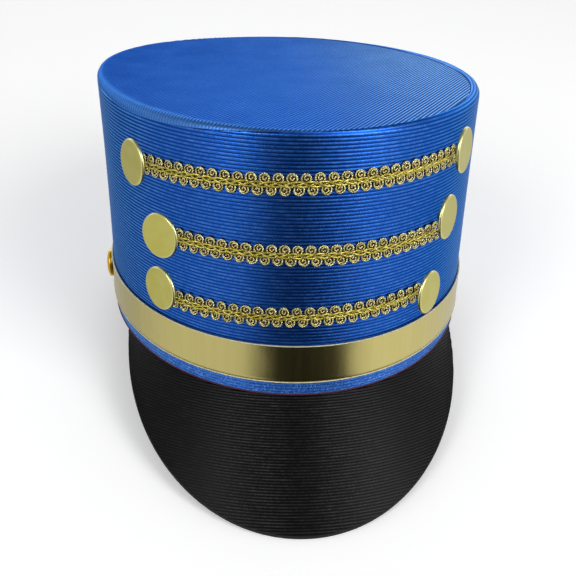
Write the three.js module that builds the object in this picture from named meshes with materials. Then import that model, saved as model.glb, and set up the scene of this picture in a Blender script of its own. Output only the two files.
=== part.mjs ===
// A shako: a stiff oval crown with a flat top, a ribbon band round its foot, three rows of braid
// between flat buttons, a small domed button at each side, and a steep peak at the front.
// Millimetres. The hat is modelled with its foot level at z = 0, its front towards -Y and +Z up
// the crown, and is then laid back on its peak and the back of its foot, as it stands on a table.

import * as THREE from 'three';

// Crown
const OPENING_WIDTH = 172;
const OPENING_LENGTH = 208;
const WALL = 2;
const CROWN_HEIGHT = 106;
const TOP_WIDTH = 175;
const TOP_LENGTH = 210;
const TOP_SET_BACK = 9.5;
const TOP_THICKNESS = 2.4;
const CLEARANCE = 0.3;

// Ribbon band
const BAND_RAISE = 6.2;
const BAND_WIDTH = 16.6;
const BAND_THICKNESS = 1;

// Peak
const PEAK_LENGTH = 55;
const PEAK_SLOPE = 42;
const PEAK_SPREAD = 60;
const PEAK_THICKNESS = 2;
const PEAK_END_LIP = 1.2;
const PEAK_SPLAY = 0.5;
const PEAK_ROUNDNESS = 2.03;
const PEAK_TAPER = 1.2;

// Braid
const BRAID_WIDTH = 8.4;
const BRAID_EDGE = 1;
const BRAID_MIDDLE = 1.5;
const BRAID_RIDGE_WIDTH = 3;

// Flat buttons at the ends of the braid
const BUTTON_DIAMETER = 18.4;
const BUTTON_RIM = 1.7;
const SHANK_DIAMETER = 4;

// Domed buttons at the sides
const SIDE_BUTTON_DIAMETER = 14;
const SIDE_BUTTON_DOME = 2.9;
const SIDE_BUTTON_ANGLE = 85;

// Steps of the meshes
const CROWN_STEPS = 84;
const PEAK_STEPS = 44;
const BRAID_STEPS = 40;
const BUTTON_STEPS = 24;
const ARC_STEPS = 4;

// Each row of braid: its height at the left, in the middle and at the right, as shares of the wall
// between the band and the top, and the two buttons that hold it. A button has its angle round the
// crown in degrees from the front, its height as such a share, and how far its face is turned
// outwards on its shank, in degrees.
const ROWS = [
  {
    name: 'top', left: 0.758, middle: 0.774, right: 0.799,
    buttons: [
      { side: 'left', angle: -45.6, height: 0.749, turn: 4.3 },
      { side: 'right', angle: 44.9, height: 0.818, turn: 6.6 },
    ],
  },
  {
    name: 'middle', left: 0.451, middle: 0.462, right: 0.45,
    buttons: [
      { side: 'left', angle: -37.2, height: 0.445, turn: -4.5 },
      { side: 'right', angle: 39.5, height: 0.521, turn: 9 },
    ],
  },
  {
    name: 'bottom', left: 0.126, middle: 0.146, right: 0.159,
    buttons: [
      { side: 'left', angle: -37.9, height: 0.171, turn: 3.4 },
      { side: 'right', angle: 34.7, height: 0.162, turn: 9.3 },
    ],
  },
];

// Each side button's height, as a share of the band's width above its lower edge
const SIDE_BUTTONS = [
  { side: 'left', direction: -1, height: 0.36 },
  { side: 'right', direction: 1, height: 0.2 },
];

const CORDED_BLUE = { color: '#1d4fb4', roughness: 0.45, metalness: 0 };
const TOP_BLUE = { color: '#3c72cc', roughness: 0.5, metalness: 0 };
const CORDED_BLACK = { color: '#101013', roughness: 0.6, metalness: 0 };
const GOLD_RIBBON = { color: '#b8a862', roughness: 0.3, metalness: 0.9 };
const GOLD_BRAID = { color: '#9a8434', roughness: 0.45, metalness: 0.8 };
const GOLD_METAL = { color: '#b4ab60', roughness: 0.28, metalness: 1 };

const FULL_TURN = 2 * Math.PI;
const bandTop = BAND_RAISE + BAND_WIDTH;

function radians(degrees) {
  return THREE.MathUtils.degToRad(degrees);
}

function piece(name, geometry, finish) {
  const mesh = new THREE.Mesh(geometry, new THREE.MeshStandardMaterial(finish));
  mesh.name = name;
  return mesh;
}

// The crown's side

// The outer face of the crown as an oval at any height: half width, half length, and how far its
// middle lies behind the middle of the foot
function ovalAt(height) {
  const share = height / CROWN_HEIGHT;
  const lerp = THREE.MathUtils.lerp;
  return {
    halfWidth: lerp(OPENING_WIDTH / 2 + WALL, TOP_WIDTH / 2, share),
    halfLength: lerp(OPENING_LENGTH / 2 + WALL, TOP_LENGTH / 2, share),
    back: TOP_SET_BACK * share,
  };
}

// A point of the crown's outer face, moved out level by a distance. The angle is 0 at the front
// and grows towards +X.
function crownPoint(angle, height, out = 0) {
  const oval = ovalAt(height);
  const across = Math.sin(angle);
  const along = -Math.cos(angle);
  const normal = new THREE.Vector2(across / oval.halfWidth, along / oval.halfLength).normalize();
  return new THREE.Vector3(
    oval.halfWidth * across + normal.x * out,
    oval.back + oval.halfLength * along + normal.y * out,
    height,
  );
}

// The directions at a point of the crown's face: to the right, up the face and out of it
function crownAxes(angle, height) {
  const step = 0.001;
  const right = crownPoint(angle + step, height).sub(crownPoint(angle - step, height)).normalize();
  const rise = crownPoint(angle, height + step).sub(crownPoint(angle, height - step)).normalize();
  const out = new THREE.Vector3().crossVectors(right, rise).normalize();
  const up = new THREE.Vector3().crossVectors(out, right).normalize();
  return { right, up, out };
}

// Closed meshes from outlines that are carried along a way

// Six times the volume that a mesh holds, above zero where its faces point out
function volumeSign(points, index) {
  let sum = 0;
  for (let i = 0; i < index.length; i += 3) {
    const a = points[index[i]];
    const b = points[index[i + 1]];
    const c = points[index[i + 2]];
    sum += a.dot(new THREE.Vector3().crossVectors(b, c));
  }
  return Math.sign(sum);
}

function closedGeometry(points, index) {
  const outward = volumeSign(points, index) > 0 ? index : index.slice().reverse();
  const geometry = new THREE.BufferGeometry().setFromPoints(points);
  geometry.setIndex(outward);
  geometry.computeVertexNormals();
  return geometry;
}

// Outlines with the same number of points, each joined to the next. A closed sweep joins the last
// to the first, and an open one is shut by a flat end at each side.
function sweep(outlines, closed) {
  const count = outlines[0].length;
  const spans = closed ? outlines.length : outlines.length - 1;
  const index = [];
  for (let i = 0; i < spans; i += 1) {
    const here = i * count;
    const next = ((i + 1) % outlines.length) * count;
    for (let k = 0; k < count; k += 1) {
      const m = (k + 1) % count;
      index.push(here + k, next + k, next + m, here + k, next + m, here + m);
    }
  }
  if (!closed) {
    const last = (outlines.length - 1) * count;
    for (const [a, b, c] of endFaces(outlines[0])) {
      index.push(a, b, c);
    }
    for (const [a, b, c] of endFaces(outlines.at(-1))) {
      index.push(last + c, last + b, last + a);
    }
  }
  return closedGeometry(outlines.flat(), index);
}

// The triangles of an end, found in the plane that the outline lies in
function endFaces(outline) {
  const across = outline[1].clone().sub(outline[0]).normalize();
  const normal = new THREE.Vector3();
  outline.forEach((point, k) => {
    const following = outline[(k + 1) % outline.length];
    normal.add(new THREE.Vector3().crossVectors(point, following));
  });
  normal.normalize();
  const upright = new THREE.Vector3().crossVectors(normal, across);
  const flat = outline.map((point) => new THREE.Vector2(point.dot(across), point.dot(upright)));
  return THREE.ShapeUtils.triangulateShape(flat, []);
}

function around(steps) {
  return Array.from({ length: steps }, (_, i) => (FULL_TURN * i) / steps);
}

function between(low, high, steps) {
  return Array.from({ length: steps + 1 }, (_, i) => THREE.MathUtils.lerp(low, high, i / steps));
}

// Crown

function crownWall() {
  const upperEdge = CROWN_HEIGHT - TOP_THICKNESS - CLEARANCE;
  const outlines = around(CROWN_STEPS).map((angle) => [
    crownPoint(angle, 0),
    crownPoint(angle, upperEdge),
    crownPoint(angle, upperEdge, -WALL),
    crownPoint(angle, 0, -WALL),
  ]);
  return piece('crown_wall', sweep(outlines, true), CORDED_BLUE);
}

// The top is turned as a round disc with a rounded upper edge and then drawn out to the oval
function crownTop() {
  const oval = ovalAt(CROWN_HEIGHT - TOP_THICKNESS);
  const radius = oval.halfWidth;
  const rounding = 0.8 * TOP_THICKNESS;
  const arc = between(0, Math.PI / 2, ARC_STEPS).map((turn) => new THREE.Vector2(
    radius - rounding + rounding * Math.cos(turn),
    TOP_THICKNESS - rounding + rounding * Math.sin(turn),
  ));
  const profile = [new THREE.Vector2(0, 0), new THREE.Vector2(radius, 0), ...arc, new THREE.Vector2(0, TOP_THICKNESS)];
  const geometry = new THREE.LatheGeometry(profile, CROWN_STEPS);
  geometry.rotateX(Math.PI / 2);
  geometry.scale(1, oval.halfLength / oval.halfWidth, 1);
  const mesh = piece('crown_top', geometry, TOP_BLUE);
  mesh.position.set(0, oval.back, CROWN_HEIGHT - TOP_THICKNESS);
  return mesh;
}

function goldBand() {
  const inside = CLEARANCE;
  const outside = CLEARANCE + BAND_THICKNESS;
  const outlines = around(CROWN_STEPS).map((angle) => [
    crownPoint(angle, BAND_RAISE, outside),
    crownPoint(angle, bandTop, outside),
    crownPoint(angle, bandTop, inside),
    crownPoint(angle, BAND_RAISE, inside),
  ]);
  return piece('gold_band', sweep(outlines, true), GOLD_RIBBON);
}

// Peak

// How far the peak stands out at a place across it, from -1 at its left end to 1 at its right
function peakReach(place) {
  const bow = (1 - Math.abs(place) ** PEAK_ROUNDNESS) ** PEAK_TAPER;
  return PEAK_END_LIP + (PEAK_LENGTH - PEAK_END_LIP) * bow;
}

// The peak's outline at that place. Its inner strip lies flat under the crown's foot, and the rest
// runs down and forwards, turned from the foot's own outward direction towards the front.
function peakOutline(place) {
  const angle = place * radians(PEAK_SPREAD);
  const slope = radians(PEAK_SLOPE);
  const reach = peakReach(place);
  const foot = crownPoint(angle, 0);
  const outward = crownPoint(angle, 0, 1).sub(foot);
  const forward = new THREE.Vector3(outward.x * PEAK_SPLAY, outward.y, 0).normalize();
  const at = (base, direction, out, down) => base.clone().addScaledVector(direction, out)
    .add(new THREE.Vector3(0, 0, -CLEARANCE - down));
  const inner = crownPoint(angle, 0, -WALL);
  const bend = PEAK_THICKNESS * Math.tan(slope / 2);
  const edge = PEAK_THICKNESS / 2;
  const round = between(Math.PI / 2, -Math.PI / 2, ARC_STEPS).map((turn) => {
    const along = reach - edge + edge * Math.cos(turn);
    const rise = edge * Math.sin(turn) - edge;
    const out = along * Math.cos(slope) + rise * Math.sin(slope);
    const down = along * Math.sin(slope) - rise * Math.cos(slope);
    return at(foot, forward, out, down);
  });
  return [
    at(inner, forward, 0, 0),
    at(foot, forward, 0, 0),
    ...round,
    at(foot, forward, -bend, PEAK_THICKNESS),
    at(inner, forward, 0, PEAK_THICKNESS),
  ];
}

function peak() {
  const outlines = between(-1, 1, PEAK_STEPS).map(peakOutline);
  return piece('peak', sweep(outlines, false), CORDED_BLACK);
}

// Braid and buttons

function heightOnWall(share) {
  return THREE.MathUtils.lerp(bandTop, CROWN_HEIGHT, share);
}

// The row's middle line bends evenly from its left height through its middle one to its right one
function braidHeight(row, place) {
  const rise = (row.right - row.left) / 2;
  const bow = (row.right + row.left) / 2 - row.middle;
  return heightOnWall(row.middle + rise * place + bow * place * place);
}

// Each row stops short of the shanks of its two buttons, under their discs
function braid(row) {
  const [first, last] = row.buttons.map((button) => {
    const height = heightOnWall(button.height);
    const arm = crownPoint(radians(button.angle), height).setZ(0).length();
    const stop = (SHANK_DIAMETER / 2 + 2 * CLEARANCE) / arm;
    return radians(button.angle) - Math.sign(button.angle) * stop;
  });
  const half = BRAID_WIDTH / 2;
  const ridge = BRAID_RIDGE_WIDTH / 2;
  const outlines = between(-1, 1, BRAID_STEPS).map((place) => {
    const angle = THREE.MathUtils.mapLinear(place, -1, 1, first, last);
    const height = braidHeight(row, place);
    const at = (rise, thickness) => crownPoint(angle, height + rise, CLEARANCE + thickness);
    return [
      at(-half, 0),
      at(-half, BRAID_EDGE),
      at(-ridge, BRAID_MIDDLE),
      at(ridge, BRAID_MIDDLE),
      at(half, BRAID_EDGE),
      at(half, 0),
    ];
  });
  return piece(`braid_${row.name}`, sweep(outlines, false), GOLD_BRAID);
}

// A turned shape whose axis stands out of the crown's face, its foot at a distance from the face
function onCrown(name, profile, finish, place) {
  const geometry = new THREE.LatheGeometry(profile, BUTTON_STEPS);
  geometry.rotateX(Math.PI / 2);
  const mesh = piece(name, geometry, finish);
  const { right, up, out } = crownAxes(place.angle, place.height);
  const turn = new THREE.Quaternion().setFromAxisAngle(up, place.turn);
  mesh.quaternion.setFromRotationMatrix(new THREE.Matrix4().makeBasis(right, up, out));
  mesh.quaternion.premultiply(turn);
  mesh.position.copy(crownPoint(place.angle, place.height)).addScaledVector(out, place.stand);
  return mesh;
}

// The disc clears the braid below it by the clearance, also where the button is turned
function flatButton(row, button) {
  const turn = radians(button.turn) * Math.sign(button.angle);
  const radius = BUTTON_DIAMETER / 2;
  const shank = SHANK_DIAMETER / 2;
  const stand = CLEARANCE + shank * Math.sin(Math.abs(turn));
  const back = CLEARANCE + BRAID_MIDDLE + CLEARANCE + radius * Math.sin(Math.abs(turn)) - stand;
  const edge = BUTTON_RIM / 2;
  const rim = between(-Math.PI / 2, Math.PI / 2, ARC_STEPS).map((bend) => new THREE.Vector2(
    radius - edge + edge * Math.cos(bend),
    back + edge + edge * Math.sin(bend),
  ));
  const profile = [
    new THREE.Vector2(0, 0),
    new THREE.Vector2(shank, 0),
    new THREE.Vector2(shank, back),
    ...rim,
    new THREE.Vector2(0, back + BUTTON_RIM),
  ];
  const place = { angle: radians(button.angle), height: heightOnWall(button.height), turn, stand };
  return onCrown(`button_${button.side}_${row.name}`, profile, GOLD_METAL, place);
}

function sideButton(button) {
  const radius = SIDE_BUTTON_DIAMETER / 2;
  const skirt = SIDE_BUTTON_DOME / 3;
  const rise = SIDE_BUTTON_DOME - skirt;
  const dome = between(0, Math.PI / 2, ARC_STEPS).slice(0, -1).map((bend) => new THREE.Vector2(
    radius * Math.cos(bend),
    skirt + rise * Math.sin(bend),
  ));
  const profile = [
    new THREE.Vector2(0, 0),
    new THREE.Vector2(radius, 0),
    ...dome,
    new THREE.Vector2(0, SIDE_BUTTON_DOME),
  ];
  const place = {
    angle: radians(SIDE_BUTTON_ANGLE) * button.direction,
    height: BAND_RAISE + BAND_WIDTH * button.height,
    turn: 0,
    stand: BAND_THICKNESS + 2 * CLEARANCE,
  };
  return onCrown(`side_button_${button.side}`, profile, GOLD_METAL, place);
}

// How the hat stands by itself: the angle that it is laid back, so that the peak's edge and the
// back of the foot meet one level surface
function restAngle() {
  const heel = crownPoint(Math.PI, 0);
  const angles = between(-1, 1, PEAK_STEPS).flatMap((place) => (
    peakOutline(place).map((point) => Math.atan2(-point.z, heel.y - point.y))
  ));
  return Math.max(...angles);
}

const hat = new THREE.Group();
hat.add(crownWall(), crownTop(), goldBand(), peak());
for (const row of ROWS) {
  hat.add(braid(row));
  for (const button of row.buttons) {
    hat.add(flatButton(row, button));
  }
}
for (const button of SIDE_BUTTONS) {
  hat.add(sideButton(button));
}

// The origin is on the surface that the hat stands on, under the middle of its outline
hat.rotation.x = -restAngle();
const box = new THREE.Box3().setFromObject(hat, true);
const middle = box.getCenter(new THREE.Vector3());
hat.position.set(-middle.x, -middle.y, -box.min.z);

const shako = new THREE.Group();
shako.add(hat);

export default shako;
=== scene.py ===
"""Dresses the shako: corded crown, ribbed peak, gold ribbon, gimp braid and metal buttons.

The hat is drawn upright in millimetres by the same rules as its solids, with its foot level at
z = 0 and its front towards -Y. It is then laid back on its peak and the back of its foot.
"""

import logging
import math
from dataclasses import dataclass
from enum import Enum
from typing import Any, ClassVar

import bpy
import numpy as np
from mathutils import Matrix, Vector


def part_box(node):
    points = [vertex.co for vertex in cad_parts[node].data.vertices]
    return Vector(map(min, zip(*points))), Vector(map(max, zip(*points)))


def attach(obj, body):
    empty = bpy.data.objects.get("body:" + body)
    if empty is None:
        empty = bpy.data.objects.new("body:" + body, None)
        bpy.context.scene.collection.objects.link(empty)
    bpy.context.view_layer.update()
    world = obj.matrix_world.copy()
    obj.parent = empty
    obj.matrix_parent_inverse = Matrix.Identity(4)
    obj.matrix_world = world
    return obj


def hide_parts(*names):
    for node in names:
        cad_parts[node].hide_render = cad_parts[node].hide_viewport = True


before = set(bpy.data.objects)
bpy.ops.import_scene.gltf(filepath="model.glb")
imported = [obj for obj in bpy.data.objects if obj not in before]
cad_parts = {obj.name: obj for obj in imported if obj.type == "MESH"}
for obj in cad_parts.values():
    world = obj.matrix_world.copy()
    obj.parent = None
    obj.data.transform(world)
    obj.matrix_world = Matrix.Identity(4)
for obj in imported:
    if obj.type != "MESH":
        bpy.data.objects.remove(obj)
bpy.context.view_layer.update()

LOG = logging.getLogger("shako")
MM = 0.001
ROUND = 600.0  # the length that a cloth's places count once round the hat, in millimetres
Colour = tuple[float, float, float]


class Side(Enum):
    """The side of the hat that a button is on, as its wearer's front faces the viewer."""

    LEFT = "left"
    RIGHT = "right"


class Placing(Enum):
    """Which way a row of gimp loops stands from the middle of its braid."""

    ABOVE = 1.0
    BELOW = -1.0


# Node trees


def math_node(operation: str, flipped: bool = False) -> Any:
    """Makes a method of Wire that adds one Math node.

    Args:
        operation: the node's operation.
        flipped: whether the wire comes after the other value.

    Returns:
        The method, which takes the other values and gives the result as a wire.
    """
    def method(self: "Wire", *others: Any) -> "Wire":
        """Adds the node for this wire and the other values."""
        values = (*others, self) if flipped else (self, *others)
        return self.graph.add("ShaderNodeMath", {"operation": operation},
                              dict(enumerate(values)))
    return method


class Wire:
    """A socket of a node tree that can be used in Python sums."""

    __add__, __radd__ = math_node("ADD"), math_node("ADD", True)
    __sub__, __rsub__ = math_node("SUBTRACT"), math_node("SUBTRACT", True)
    __mul__, __rmul__ = math_node("MULTIPLY"), math_node("MULTIPLY", True)
    __truediv__, __rtruediv__ = math_node("DIVIDE"), math_node("DIVIDE", True)
    __pow__, __abs__ = math_node("POWER"), math_node("ABSOLUTE")
    least, most = math_node("MINIMUM"), math_node("MAXIMUM")
    sine = math_node("SINE")

    def __init__(self, graph: "Graph", socket: Any) -> None:
        """Keeps the tree's builder and the output socket."""
        self.graph = graph
        self.socket = socket

    def step(self, low: float, high: float) -> "Wire":
        """A smooth step.

        Args:
            low: where it starts to leave 0.
            high: where it reaches 1.

        Returns:
            A value from 0 to 1.
        """
        settings = {"interpolation_type": "SMOOTHSTEP"}
        values = {"Value": self, "From Min": low, "From Max": high, "To Min": 0.0, "To Max": 1.0}
        return self.graph.add("ShaderNodeMapRange", settings, values)

    def turn_step(self, low: float, high: float) -> "Wire":
        """A smooth step of an angle in radians, between two angles in degrees."""
        return self.step(math.radians(low), math.radians(high))


class Graph:
    """Adds nodes to a shader tree or a geometry tree."""

    def __init__(self, tree: Any) -> None:
        """Takes a node tree and empties it."""
        self.tree = tree
        self.tree.nodes.clear()

    @staticmethod
    def _pick(sockets: Any, key: int | str) -> Any:
        """The shown socket of that name or place."""
        shown = [s for s in sockets if s.enabled]
        return shown[key] if isinstance(key, int) else next(s for s in shown if s.name == key)

    def node(self, kind: str, settings: dict | None = None, inputs: dict | None = None) -> Any:
        """Adds any node.

        Args:
            kind: the node's type.
            settings: its properties, which are set first.
            inputs: values or wires by the socket's name or place.

        Returns:
            The node.
        """
        made = self.tree.nodes.new(kind)
        for name, value in (settings or {}).items():
            setattr(made, name, value)
        for key, value in (inputs or {}).items():
            socket = self._pick(made.inputs, key)
            if isinstance(value, Wire):
                self.tree.links.new(value.socket, socket)
            else:
                socket.default_value = value
        return made

    def add(self, kind: str, settings: dict | None = None, inputs: dict | None = None,
            output: int | str = 0) -> Wire:
        """Adds any node and gives one of its outputs.

        Args:
            kind: the node's type.
            settings: its properties.
            inputs: values or wires by the socket's name or place.
            output: the wanted output, by name or place.

        Returns:
            The output.
        """
        made = self.node(kind, settings, inputs)
        return Wire(self, self._pick(made.outputs, output))

    def vector(self, x: Any, y: Any, z: Any) -> Wire:
        """Joins three values to a vector."""
        return self.add("ShaderNodeCombineXYZ", None, {0: x, 1: y, 2: z})

    def parts(self, vector: Any) -> list[Wire]:
        """The three values of a vector."""
        made = self.node("ShaderNodeSeparateXYZ", None, {0: vector})
        return [Wire(self, output) for output in made.outputs]

    def turned(self, operation: str, first: Any, second: Any) -> Wire:
        """A Vector Math node of two vectors."""
        return self.add("ShaderNodeVectorMath", {"operation": operation}, {0: first, 1: second})

    def scaled(self, vector: Any, factor: Any) -> Wire:
        """A vector times a number."""
        return self.add("ShaderNodeVectorMath", {"operation": "SCALE"},
                        {"Vector": vector, "Scale": factor})


class Shade(Graph):
    """Builds one material round a Principled shader."""

    def __init__(self, name: str) -> None:
        """Starts a material of that name."""
        self.material = bpy.data.materials.new(name)
        self.material.use_nodes = True
        super().__init__(self.material.node_tree)

    def blend(self, factor: Any, low: Any, high: Any) -> Wire:
        """Mixes two colours.

        Args:
            factor: 0 for the first colour and 1 for the second.
            low: the first colour.
            high: the second colour.

        Returns:
            The colour.
        """
        values = {"Factor": factor, "A": rgba(low), "B": rgba(high)}
        return self.add("ShaderNodeMix", {"data_type": "RGBA"}, values)

    def cloud(self, place: Wire, scale: float, detail: float = 2.0, rough: float = 0.5) -> Wire:
        """Noise from 0 to 1 at a place."""
        values = {"Vector": place, "Scale": scale, "Detail": detail, "Roughness": rough}
        return self.add("ShaderNodeTexNoise", None, values)

    def here(self) -> Wire:
        """The place on the object, in millimetres."""
        place = self.add("ShaderNodeTexCoord", None, None, "Object")
        return self.scaled(place, 1.0 / MM)

    def cloth(self) -> tuple[Wire, Wire]:
        """The place on the cloth in millimetres: along its ribs, and across them."""
        along, across, _ = self.parts(self.add("ShaderNodeUVMap", {"uv_map": "cloth"}))
        return along, across

    def held(self, name: str) -> Wire:
        """A number that the mesh holds at each point."""
        return self.add("ShaderNodeAttribute", {"attribute_name": name}, None, "Fac")

    def bump(self, height: Wire, depth: float) -> Wire:
        """A Bump node for a height from 0 to 1, where 1 stands for a depth in millimetres."""
        values = {"Height": height, "Distance": depth * MM, "Strength": 1.0}
        return self.add("ShaderNodeBump", None, values)

    def finish(self, **values: Any) -> Any:
        """Ends the material in a Principled shader.

        Args:
            values: its sockets by name, with _ for a space.

        Returns:
            The material.
        """
        inputs = {name.replace("_", " "): rgba(value) for name, value in values.items()}
        shader = self.add("ShaderNodeBsdfPrincipled", None, inputs)
        self.node("ShaderNodeOutputMaterial", None, {"Surface": shader})
        return self.material


def srgb(red: float, green: float, blue: float) -> Colour:
    """A screen colour from 0 to 255 as linear light."""
    return tuple((v / 255 / 12.92) if v <= 10.31 else ((v / 255 + 0.055) / 1.055) ** 2.4
                 for v in (red, green, blue))


def rgba(value: Any) -> Any:
    """A colour with full cover, and any other value as it is."""
    return (*value, 1.0) if isinstance(value, tuple) else value


# Finishes


@dataclass(frozen=True)
class CordedCloth:
    """A satin cloth with even ribs, such as the crown's or the peak's.

    Its crests are pale with painted flecks of sheen, and its furrows are painted dark as shade.
    Towards both sides, or towards +X alone, a painted highlight brightens the crests and painted
    shade deepens the furrows. Painted shade darkens the middle, and calm sides have less painted
    sheen and furrow shade. A pale colour is painted as a highlight where the ribs are laid low at
    the edge, and crest and even set how narrow the pale crests are and how little they are
    flecked.
    """

    name: str
    ridge: Colour
    valley: Colour
    streak: Colour
    pitch: float
    roughness: float = 0.4
    fold: float = 0.25
    ridge_share: float = 0.7
    painted_sheen_share: float = 0.5
    painted_side_light: float = 0.0
    both: bool = False
    painted_middle_shade: float = 0.0
    hem: float = 0.0
    painted_roll_light: float = 0.0
    painted_roll_colour: Colour = (0.1, 0.3, 0.8)
    crest: float = 0.6
    even: float = 0.0
    calm: float = 0.0
    thread: float = 0.04
    metal: float = 0.9
    gloss: float = 0.4
    glance: Colour = (1.0, 1.0, 1.0)

    def build(self) -> Any:
        """The material."""
        s = Shade(self.name)
        along, across = s.cloth()
        rib = abs((across * (math.pi / self.pitch)).sine())
        number = s.add("ShaderNodeMath", {"operation": "FLOOR"}, {0: across / self.pitch})
        dash = s.cloud(s.vector(along * 0.22, number * 7.31, 0.0), 1.0, 3.0, 0.65)
        wisp = s.cloud(s.vector(along * 1.6, number * 3.7, 4.0), 1.0, 2.0, 0.6)
        wide = s.cloud(s.vector(along * 0.03, across * 0.03, 9.0), 1.0, 2.0, 0.5)
        place = s.parts(s.here())[0]
        # how near the sides, or +X, the place is: there a painted highlight lights the crests and
        # painted shade deepens the furrows
        far = abs(place).step(48.0, 84.0) if self.both else place.step(-5.0, 76.0)
        # a darker, bluer valley colour, painted as the furrows' shade at the sides and in the
        # middle
        deep = tuple(value * share for value, share in zip(self.valley, (0.02, 0.12, 0.45)))
        low = s.blend((far * self.painted_side_light * 1.6).least(1.0), self.valley, deep)
        # on calm sides the painted furrow shade and the painted sheen fade out
        if self.calm:
            quiet = abs(place).step(20.0, 45.0) * self.calm
            low = s.blend(quiet, low, self.ridge)
        # painted shade: the furrows take the darker valley colour, the crests the ridge colour
        tone = s.blend(rib.step(self.fold, self.fold + self.ridge_share), low, self.ridge)
        # painted sheen: pale flecks of the streak colour on the crests
        crest = rib.step(self.crest, self.crest * 0.3 + 0.7)
        lit = dash.step(0.4, 0.7) * 0.5 + wisp.step(0.45, 0.7) * 0.5
        lit = (lit * (1.0 - self.even) + self.even) * self.painted_sheen_share
        if self.calm:
            lit = lit * (1.0 - quiet)
        # painted highlight on the crests, growing towards the sides
        lit = lit + far * self.painted_side_light
        tone = s.blend(lit.least(1.0) * crest, tone, self.streak)
        tone = s.blend(wide.step(0.35, 0.7) * 0.15, tone, self.valley)
        # painted shade darkening the middle of the cloth
        if self.painted_middle_shade:
            middle = 1.0 - abs(place + 1.0).step(2.0, 12.0)
            tone = s.blend(middle * self.painted_middle_shade, tone, deep)
        # painted highlight: a pale colour where the ribs are laid low at the edge
        if self.painted_roll_light:
            tone = s.blend((1.0 - s.held("raised")) * self.painted_roll_light, tone, self.painted_roll_colour)
        metal = self.metal
        if self.hem:
            fleck = s.cloud(s.here(), 1.6, 3.0, 0.7)
            near = 1.0 - across.step(self.hem - 0.6, self.hem)
            tone = s.blend(near * (1.0 - fleck.step(0.3, 0.5)), tone, self.ridge)
            tone = s.blend(near * fleck.step(0.48, 0.7) * 0.8, tone, self.streak)
            metal = self.metal * (1.0 - near * 0.45)
        threads = s.cloud(s.vector(along * 5.0, across * 0.9, 0.0), 1.0, 2.0, 0.6)
        normal = s.bump(threads + dash * 0.8, self.thread)
        rough = self.roughness + (dash - 0.5) * 0.2
        return s.finish(Base_Color=tone, Roughness=rough, Normal=normal, Metallic=metal,
                        Specular_IOR_Level=self.gloss, Specular_Tint=self.glance)


@dataclass(frozen=True)
class PlainCloth:
    """The back of a corded cloth: a flat weave without a sheen."""

    name: str
    base: Colour
    dark: Colour

    def build(self) -> Any:
        """The material."""
        s = Shade(self.name)
        along, across = s.cloth()
        weave = (along * 6.3).sine() * (across * 6.3).sine() * 0.5 + 0.5
        patch = s.cloud(s.here(), 0.05, 3.0)
        fuzz = s.cloud(s.here(), 2.5, 3.0, 0.7)
        tone = s.blend((weave * 0.5 + fuzz * 0.5).step(0.2, 0.8), self.dark, self.base)
        tone = s.blend(patch * 0.25, tone, self.dark)
        normal = s.bump(weave * 0.6 + fuzz * 0.4, 0.12)
        return s.finish(Base_Color=tone, Roughness=0.75 + fuzz * 0.2, Normal=normal)


@dataclass(frozen=True)
class FoilRibbon:
    """A metallic foil ribbon, with soft streaks across it."""

    name: str
    base: Colour
    pale: Colour
    deep: Colour

    def build(self) -> Any:
        """The material."""
        s = Shade(self.name)
        along, across = s.cloth()
        streak = s.cloud(s.vector(along * 0.35, across * 0.02, 0.0), 1.0, 3.0, 0.6)
        grain = s.cloud(s.vector(along * 2.2, across * 0.15, 5.0), 1.0, 2.0, 0.6)
        crease = s.cloud(s.vector(along * 0.5, across * 2.2, 3.0), 1.0, 3.0, 0.6)
        tone = s.blend(streak.step(0.35, 0.7) * 0.2, self.base, self.pale)
        tone = s.blend(grain.step(0.6, 0.9) * 0.12, tone, self.deep)
        rough = 0.17 + streak * 0.08 + grain * 0.04
        normal = s.bump(streak * 0.3 + crease * 0.45, 0.035)
        return s.finish(Base_Color=tone, Metallic=1.0, Roughness=rough, Normal=normal)


@dataclass(frozen=True)
class GoldThread:
    """Metallic thread flecked by noise; on the gimp and plait its pale and dark flecks are painted
    highlight and shade.
    """

    name: str
    bright: Colour
    middle: Colour
    dark: Colour
    metal: float = 0.85
    roughness: float = 0.3
    grain: float = 3.2

    def build(self) -> Any:
        """The material."""
        s = Shade(self.name)
        fibre = s.cloud(s.here(), self.grain, 3.0, 0.7)
        patch = s.cloud(s.here(), 0.6, 2.0, 0.5)
        # for the gimp and the plait: dark flecks of painted shade and pale flecks of painted
        # highlight
        tone = s.blend(fibre.step(0.32, 0.52), self.dark, self.middle)
        tone = s.blend((fibre * 0.6 + patch * 0.4).step(0.5, 0.72), tone, self.bright)
        rough = self.roughness + (fibre - 0.5) * 0.3
        return s.finish(Base_Color=tone, Metallic=self.metal, Roughness=rough,
                        Normal=s.bump(fibre, 0.12))


@dataclass(frozen=True)
class ButtonMetal:
    """Stamped brass-coloured metal, faintly scratched, its rim painted paler as a highlight."""

    name: str
    base: Colour
    pale: Colour
    dull: Colour
    roughness: float = 0.26

    def build(self) -> Any:
        """The material."""
        s = Shade(self.name)
        here = s.here()
        smear = s.cloud(here, 0.12, 3.0, 0.55)
        scratch = s.cloud(s.turned("MULTIPLY", here, (0.5, 0.5, 6.0)), 1.1, 3.0, 0.7)
        speck = s.cloud(here, 2.2, 2.0, 0.6)
        right, up = s.cloth()
        # painted highlight: the rim takes the paler colour
        rim = ((right * right + up * up) ** 0.5).step(8.1, 8.8)
        pale = (smear.step(0.35, 0.7) * 0.3 + rim).least(1.0)
        tone = s.blend(pale, self.base, self.pale)
        tone = s.blend(speck.step(0.62, 0.8) * 0.15, tone, self.dull)
        rough = self.roughness + smear * 0.1 + scratch.step(0.5, 0.8) * 0.08
        normal = s.bump(scratch * 0.3 + smear, 0.006)
        return s.finish(Base_Color=tone, Metallic=1.0, Roughness=rough, Normal=normal)


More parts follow.
